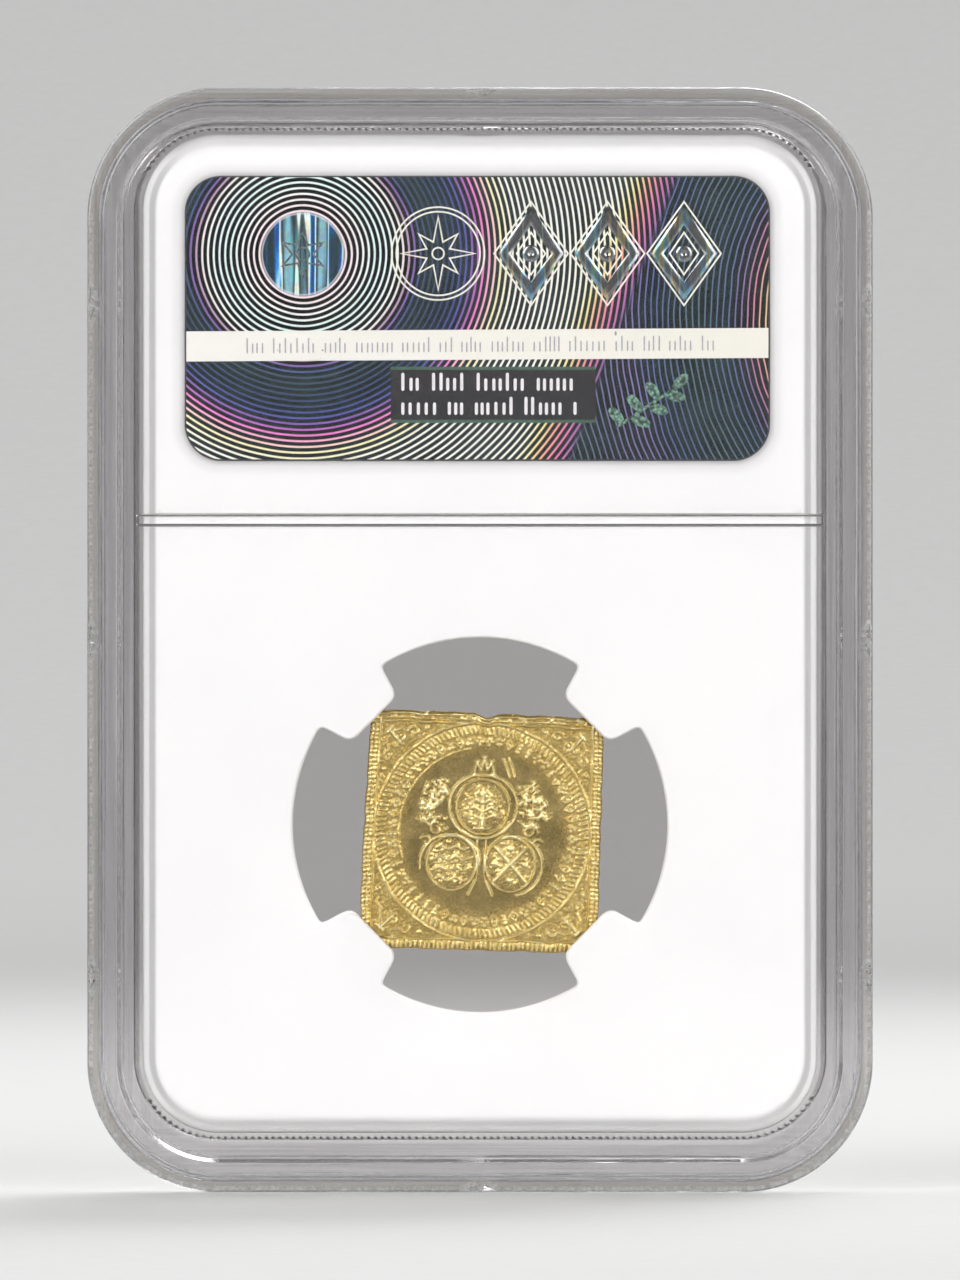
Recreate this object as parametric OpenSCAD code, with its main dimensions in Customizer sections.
// Graded coin slab: a square coin sealed in a clear welded holder, standing on its bottom edge.
// Part frame: +Z up to the label end, -Y out of the rear face, +X to the right seen from the rear.
// Each piece is drawn lying flat, rear face up, with the weld plane at height 0, and then stood up.

/* [Holder] */
// Width of the holder
holder_w = 60; // [58:0.5:64]
// Height of the holder
holder_h = 84.4; // [82:0.2:88]
// Thickness over the two stacking rims
holder_t = 8; // [7.6:0.1:9]
// Radius of the outer corners
corner_r = 10; // [9:0.5:12]
// Distance from the weld plane to the outer face of each window
window_face = 3.5; // [3.3:0.05:3.6]
// Height of the rim above the edge shoulder
rim_lift = 0.22; // [0.1:0.02:0.3]
// Inset of the rim's outer foot
rim_foot = 0.95; // [0.8:0.05:1.1]
// Inset of the rim's outer crest
rim_crest = 1.2; // [1.15:0.05:1.3]
// Inset of the rim's inner crest
rim_inner_crest = 2.3; // [2:0.05:2.4]
// Inset of the rim's inner foot
rim_inner_foot = 2.6; // [2.5:0.05:2.9]
// Radius of the rounding between the side wall and the shoulder
shoulder_r = 0.5; // [0.3:0.05:0.6]

/* [Cavity] */
// Width of the cavity
cavity_w = 53; // [52.6:0.1:53.2]
// Height of the cavity
cavity_h = 77.5; // [77:0.1:77.8]
// Radius of the cavity corners
cavity_r = 6.4; // [6:0.1:6.8]
// Depth of the cavity in each shell
cavity_depth = 1.97; // [1.95:0.01:1.99]
// Rise of the cavity's centre above the middle of the holder
cavity_rise = 0.5; // [0:0.05:0.55]
// Width of the ledge that centres the core at the sides
ledge_w = 0.45; // [0.3:0.05:0.5]
// Width of the same ledge at the top and the bottom
ledge_end_w = 0.25; // [0.1:0.05:0.3]
// Height of the ledge from the weld plane
ledge_t = 1.1; // [0.8:0.1:1.2]
// Width of the divider rib on each window
rib_w = 0.8; // [0.6:0.05:0.85]
// Depth of the divider rib below the window
rib_depth = 0.6; // [0.5:0.05:0.8]
// Height of the divider rib above the core's centre
rib_z = 8.67; // [8:0.1:9]

/* [Weld joint] */
// Inset of the tongue from the outline
tongue_inset = 1.25; // [1.15:0.05:1.35]
// Width of the tongue
tongue_w = 0.9; // [0.7:0.05:1]
// Height of the tongue
tongue_h = 0.9; // [0.6:0.1:1.2]
// Clearance of the groove round the tongue
groove_gap = 0.05; // [0.03:0.01:0.1]
// Length of one wedge notch in the outer wall
notch_len = 1.42; // [1:0.02:1.6]
// Depth of a wedge notch at its wide end
notch_deep = 0.55; // [0.3:0.05:0.6]
// Web between the two notches of a pair
notch_web = 0.45; // [0.3:0.05:0.6]
// Height of a notch from the weld plane
notch_t = 0.8; // [0.4:0.1:1]
// Spacing of the notch pairs along the long sides
notch_pitch = 25.7; // [24:0.1:27]

/* [Core] */
// Width of the core
core_w = 51.6; // [51:0.1:51.8]
// Height of the core
core_h = 76.4; // [76:0.1:76.6]
// Radius of the core corners
core_r = 5.8; // [5:0.1:6]
// Thickness of each core half at its pad
core_half_t = 1.7; // [1.5:0.01:1.72]
// Thickness of each core half at its outer edge
core_edge_t = 1.15; // [1:0.05:1.3]
// Width of the bevel round the pad
bevel_w = 1.15; // [0.8:0.05:1.4]
// Width of the groove that takes the divider rib
rib_groove_w = 0.92; // [0.9:0.01:1]
// Depth of that groove
rib_groove_depth = 0.4; // [0.38:0.01:0.5]
// Width of the gate notch in the top edge
gate_w = 4; // [3:0.5:5]
// Depth of the gate notch
gate_depth = 0.12; // [0.05:0.01:0.2]
// Radius of the snap pins
pin_r = 0.9; // [0.7:0.05:1.1]
// Length of the snap pins
pin_len = 0.8; // [0.5:0.1:1]
// Clearance of the sockets round the pins
pin_gap = 0.05; // [0.03:0.01:0.1]

/* [Coin seat] */
// Radius of the round opening
opening_r = 14.35; // [14.3:0.05:15]
// Height of the opening's centre below the core's centre
opening_drop = 14.68; // [14:0.1:15.5]
// Distance from the opening's centre to the prong tips
prong_tip = 11.46; // [11:0.05:12]
// Half width of a prong at its root
prong_root = 3.25; // [3:0.05:3.5]
// Half width of a prong at its tip
prong_end = 2.5; // [2:0.05:2.8]
// Side of the square coin
coin_side = 18.4; // [18:0.1:18.6]
// Thickness of the coin
coin_t = 0.6; // [0.4:0.05:0.8]
// Turn of the coin in its seat
coin_turn = -1.8; // [-3:0.1:3]
// Gap between the coin and its seat on every side
seat_gap = 0.05; // [0.02:0.01:0.1]
// Shift of the coin from the opening's centre, to the right
coin_dx = 0.14; // [-0.2:0.02:0.2]
// Shift of the coin from the opening's centre, downwards
coin_drop = 0.49; // [0:0.01:0.6]

/* [Labels] */
// Width of each label
label_w = 44.75; // [42:0.05:46]
// Height of each label
label_h = 21.8; // [20:0.1:22.5]
// Radius of the label corners
label_r = 2.8; // [2:0.1:4]
// Height of the labels' centre above the core's centre
label_z = 24.1; // [23:0.1:24.4]
// Sideways offset of the rear label, which is laid on by hand
rear_label_x = -0.2; // [-0.6:0.05:0.6]
// Thickness of the label paper
paper_t = 0.1; // [0.08:0.01:0.12]
// Thickness of the foils
foil_t = 0.05; // [0.04:0.01:0.06]
// Thickness of the printed strip and of the seal where they lie on the paper or foil
print_t = 0.04; // [0.03:0.01:0.05]
// Margin of bare paper round the foils
foil_margin = 0.12; // [0.05:0.01:0.3]
// Height of the printed strip
strip_h = 2.3; // [2:0.05:2.6]
// Turn of the printed strip
strip_turn = 0.35; // [0:0.05:0.5]
// Distance of the printed strip below the labels' centre
strip_drop = 2.02; // [1.8:0.02:2.3]
// Radius of the round seal
seal_r = 3.2; // [2.8:0.1:3.4]
// Width of the caption patch
patch_w = 15.65; // [12:0.05:16]
// Height of the caption patch
patch_h = 4.3; // [3.5:0.05:4.6]

/* [Hidden] */
$fn = 96;
// Overlap that keeps joined solids whole and cuts clean
eps = 0.01;
// Height of the core's centre in the standing holder
core_z = holder_h / 2 + cavity_rise;
shoulder_t = holder_t / 2 - rim_lift;
// Width of the swept ring that carries the holder's edge section
ring_w = 4;
// Steps of the shoulder's rounding
arc_steps = 6;
opening_z = -opening_drop;
coin_pos = [coin_dx, opening_z - coin_drop];
strip_z = label_z - strip_drop;
// Places of the snap pins, from the core's centre
pin_places = [[-22, 34], [22, 34], [-22, 4], [22, 4], [-22, -34], [22, -34]];
// Place of the round seal on the label, from the label's centre
seal_pos = [-13.35, 4.9];
// Place of the caption patch, from the label's centre
patch_pos = [1.2, -5.85];
// Place and radius of the emblem foil on the front label, from the label's centre
emblem_pos = [17.2, 0];
emblem_r = 3.4;

// Stands a piece that lies rear face up, and raises it to its height in the holder
module stand(z) {
    translate([0, 0, z]) rotate([90, 0, 0]) children();
}

// Turns a piece drawn for the rear half over to the front half
module to_front() {
    mirror([0, 0, 1]) children();
}

module rounded_rect(w, h, r) {
    square([w - 2 * r, h], center = true);
    square([w, h - 2 * r], center = true);
    for (sx = [-1, 1], sy = [-1, 1]) {
        translate([sx * (w / 2 - r), sy * (h / 2 - r)]) circle(r);
    }
}

module plate(w, h, r, t) {
    linear_extrude(t) rounded_rect(w, h, r);
}

// Sweeps a section round a rounded rectangle; section points are [inset from the outline, height]
module rounded_ring(w, h, r, section) {
    for (i = [0:3]) {
        corner = [[1, 1], [-1, 1], [-1, -1], [1, -1]][i];
        translate([corner[0] * (w / 2 - r), corner[1] * (h / 2 - r), 0])
            rotate([0, 0, 90 * i])
                rotate_extrude(angle = 90) polygon([for (p = section) [r - p[0], p[1]]]);
    }
    for (i = [0:3]) {
        run = (i % 2 == 0) ? w - 2 * r : h - 2 * r;
        reach = (i % 2 == 0) ? h / 2 : w / 2;
        rotate([0, 0, 90 * i])
            translate([-run / 2, 0, 0])
                rotate([90, 0, 90])
                    linear_extrude(run) polygon([for (p = section) [reach - p[0], p[1]]]);
    }
}

// Section of the holder's edge: side wall, rounded shoulder, stacking rim and window face
edge_section = concat(
    [[0, 0]],
    [for (i = [0:arc_steps]) let (a = 90 * i / arc_steps)
        [shoulder_r * (1 - cos(a)), shoulder_t - shoulder_r * (1 - sin(a))]],
    [[rim_foot, shoulder_t], [rim_crest, holder_t / 2], [rim_inner_crest, holder_t / 2],
        [rim_inner_foot, window_face], [ring_w, window_face], [ring_w, 0]]
);

// One clear half without its half of the weld joint
module shell_body() {
    difference() {
        union() {
            rounded_ring(holder_w, holder_h, corner_r, edge_section);
            plate(holder_w - 2 * ring_w, holder_h - 2 * ring_w, corner_r - ring_w, window_face);
        }
        translate([0, cavity_rise, -eps])
            plate(cavity_w, cavity_h, cavity_r, cavity_depth + eps);
        wedge_notches();
    }
    translate([0, cavity_rise, 0]) {
        core_ledge();
        divider_rib();
    }
}

// Ledge round the foot of the cavity wall that centres the core
module core_ledge() {
    difference() {
        plate(cavity_w + eps, cavity_h + eps, cavity_r, ledge_t);
        translate([0, 0, -eps])
            plate(cavity_w - 2 * ledge_w, cavity_h - 2 * ledge_end_w, cavity_r - ledge_w, ledge_t + 2 * eps);
    }
}

// Rib across the window that sits in the core's groove
module divider_rib() {
    translate([-cavity_w / 2 - eps, rib_z - rib_w / 2, cavity_depth - rib_depth])
        cube([cavity_w + 2 * eps, rib_w, rib_depth + eps]);
}

// Pair of tapered notches cut into the outer wall at the weld plane, meeting at a narrow web
module notch_pair() {
    for (s = [-1, 1]) {
        translate([0, 0, -eps])
            linear_extrude(notch_t + eps)
                polygon([[s * notch_web / 2, eps], [s * notch_web / 2, -notch_deep],
                    [s * (notch_web / 2 + notch_len), eps]]);
    }
}

module wedge_notches() {
    for (side = [-1, 1], row = [-1, 0, 1]) {
        translate([side * holder_w / 2, row * notch_pitch, 0]) rotate([0, 0, -90 * side]) notch_pair();
    }
    translate([0, holder_h / 2, 0]) notch_pair();
    translate([0, -holder_h / 2, 0]) rotate([0, 0, 180]) notch_pair();
}

// Ring that follows the outline between two insets
module outline_ring(inset, w, t) {
    linear_extrude(t) difference() {
        rounded_rect(holder_w - 2 * inset, holder_h - 2 * inset, corner_r - inset);
        rounded_rect(holder_w - 2 * (inset + w), holder_h - 2 * (inset + w), corner_r - inset - w);
    }
}

// Clear rear half, with the tongue of the weld joint
module rear_shell() {
    color([0.86, 0.88, 0.88, 0.35]) stand(holder_h / 2) {
        shell_body();
        translate([0, 0, -tongue_h]) outline_ring(tongue_inset, tongue_w, tongue_h + eps);
    }
}

// Clear front half, with the groove of the weld joint
module front_shell() {
    color([0.86, 0.88, 0.88, 0.35]) stand(holder_h / 2) to_front() difference() {
        shell_body();
        translate([0, 0, -eps])
            outline_ring(tongue_inset - groove_gap, tongue_w + 2 * groove_gap, tongue_h + groove_gap + eps);
    }
}

// Section of the core's edge: upright edge and bevel up to the pad
core_section = [[0, 0], [0, core_edge_t], [bevel_w, core_half_t], [core_r - 1, core_half_t], [core_r - 1, 0]];

// Round opening with four prongs on the diagonals
module opening_shape() {
    difference() {
        circle(opening_r);
        for (i = [0:3]) {
            rotate(45 + 90 * i)
                polygon([[prong_tip, -prong_end], [opening_r, -prong_root], [opening_r + 1, -prong_root],
                    [opening_r + 1, prong_root], [opening_r, prong_root], [prong_tip, prong_end]]);
        }
    }
}

// One white core half, without its pins or sockets
module core_body() {
    difference() {
        union() {
            rounded_ring(core_w, core_h, core_r, core_section);
            plate(core_w - 2 * (core_r - 1), core_h - 2 * (core_r - 1), 1, core_half_t);
        }
        translate([0, opening_z, -eps]) linear_extrude(core_half_t + 2 * eps) opening_shape();
        translate([coin_pos[0], coin_pos[1], -eps]) rotate([0, 0, coin_turn])
            linear_extrude(coin_t / 2 + seat_gap + eps) square(coin_side + 2 * seat_gap, center = true);
        translate([-core_w / 2 - eps, rib_z - rib_groove_w / 2, core_half_t - rib_groove_depth])
            cube([core_w + 2 * eps, rib_groove_w, rib_groove_depth + eps]);
        gate_notch();
    }
}

// Shallow hollow where the gate was, in the middle of the top edge
module gate_notch() {
    gate_r = (gate_w * gate_w / 4 + gate_depth * gate_depth) / (2 * gate_depth);
    translate([0, core_h / 2 + gate_r - gate_depth, -eps]) cylinder(r = gate_r, h = core_half_t + 2 * eps);
}

module rear_core() {
    color("white") stand(core_z) {
        core_body();
        for (p = pin_places) {
            translate([p[0], p[1], -pin_len]) cylinder(r = pin_r, h = pin_len + eps);
        }
    }
}

module front_core() {
    color("white") stand(core_z) to_front() difference() {
        core_body();
        for (p = pin_places) {
            translate([p[0], p[1], -eps]) cylinder(r = pin_r + pin_gap, h = pin_len + pin_gap + eps);
        }
    }
}

// Square struck coin, held by its corners between the prongs
module coin() {
    color([0.80, 0.66, 0.33]) stand(core_z)
        translate([coin_pos[0], coin_pos[1], -coin_t / 2])
            rotate([0, 0, coin_turn])
                linear_extrude(coin_t) square(coin_side, center = true);
}

// Paper carrier of the rear label
module security_label() {
    color([0.92, 0.91, 0.88]) stand(core_z)
        translate([rear_label_x, label_z, core_half_t]) plate(label_w, label_h, label_r, paper_t);
}

// Foil area of the label, from one height to another measured from the label's centre
module foil_area(low, high) {
    intersection() {
        rounded_rect(label_w - 2 * foil_margin, label_h - 2 * foil_margin, label_r - foil_margin);
        rotate(strip_turn) translate([-label_w, low]) square([2 * label_w, high - low]);
    }
}

// Holographic foil above the printed strip, with a round window for the seal
module hologram_foil_upper() {
    color([0.25, 0.33, 0.36]) stand(core_z)
        translate([rear_label_x, label_z, core_half_t + paper_t]) linear_extrude(foil_t) difference() {
            foil_area(strip_h / 2 - strip_drop, label_h);
            translate(seal_pos) circle(seal_r);
        }
}

// Holographic foil below the printed strip
module hologram_foil_lower() {
    color([0.25, 0.33, 0.36]) stand(core_z)
        translate([rear_label_x, label_z, core_half_t + paper_t])
            linear_extrude(foil_t) foil_area(-label_h, -strip_h / 2 - strip_drop);
}

// Cream strip between the two foils
module printed_strip() {
    color([0.96, 0.93, 0.84]) stand(core_z)
        translate([rear_label_x, label_z, core_half_t + paper_t])
            linear_extrude(print_t) foil_area(-strip_h / 2 - strip_drop, strip_h / 2 - strip_drop);
}

// Dark patch on the lower foil
module caption_patch() {
    color([0.30, 0.33, 0.34]) stand(core_z)
        translate([rear_label_x + patch_pos[0], label_z + patch_pos[1], core_half_t + paper_t + foil_t])
            linear_extrude(print_t) square([patch_w, patch_h], center = true);
}

// Round holographic seal, in the window of the upper foil
module seal_disc() {
    color([0.55, 0.70, 0.85]) stand(core_z)
        translate([rear_label_x + seal_pos[0], label_z + seal_pos[1], core_half_t + paper_t])
            cylinder(r = seal_r, h = foil_t + print_t / 2);
}

// Paper label on the front, with a round window for its emblem
module grade_label() {
    color([0.95, 0.94, 0.91]) stand(core_z) to_front()
        translate([0, label_z, core_half_t]) linear_extrude(paper_t) difference() {
            rounded_rect(label_w, label_h, label_r);
            translate(emblem_pos) circle(emblem_r);
        }
}

// Round foil emblem in the front label
module grade_label_emblem() {
    color([0.75, 0.62, 0.30]) stand(core_z) to_front()
        translate([emblem_pos[0], label_z + emblem_pos[1], core_half_t])
            cylinder(r = emblem_r, h = paper_t + foil_t);
}

rear_shell();
front_shell();
rear_core();
front_core();
coin();
security_label();
hologram_foil_upper();
hologram_foil_lower();
printed_strip();
caption_patch();
seal_disc();
grade_label();
grade_label_emblem();
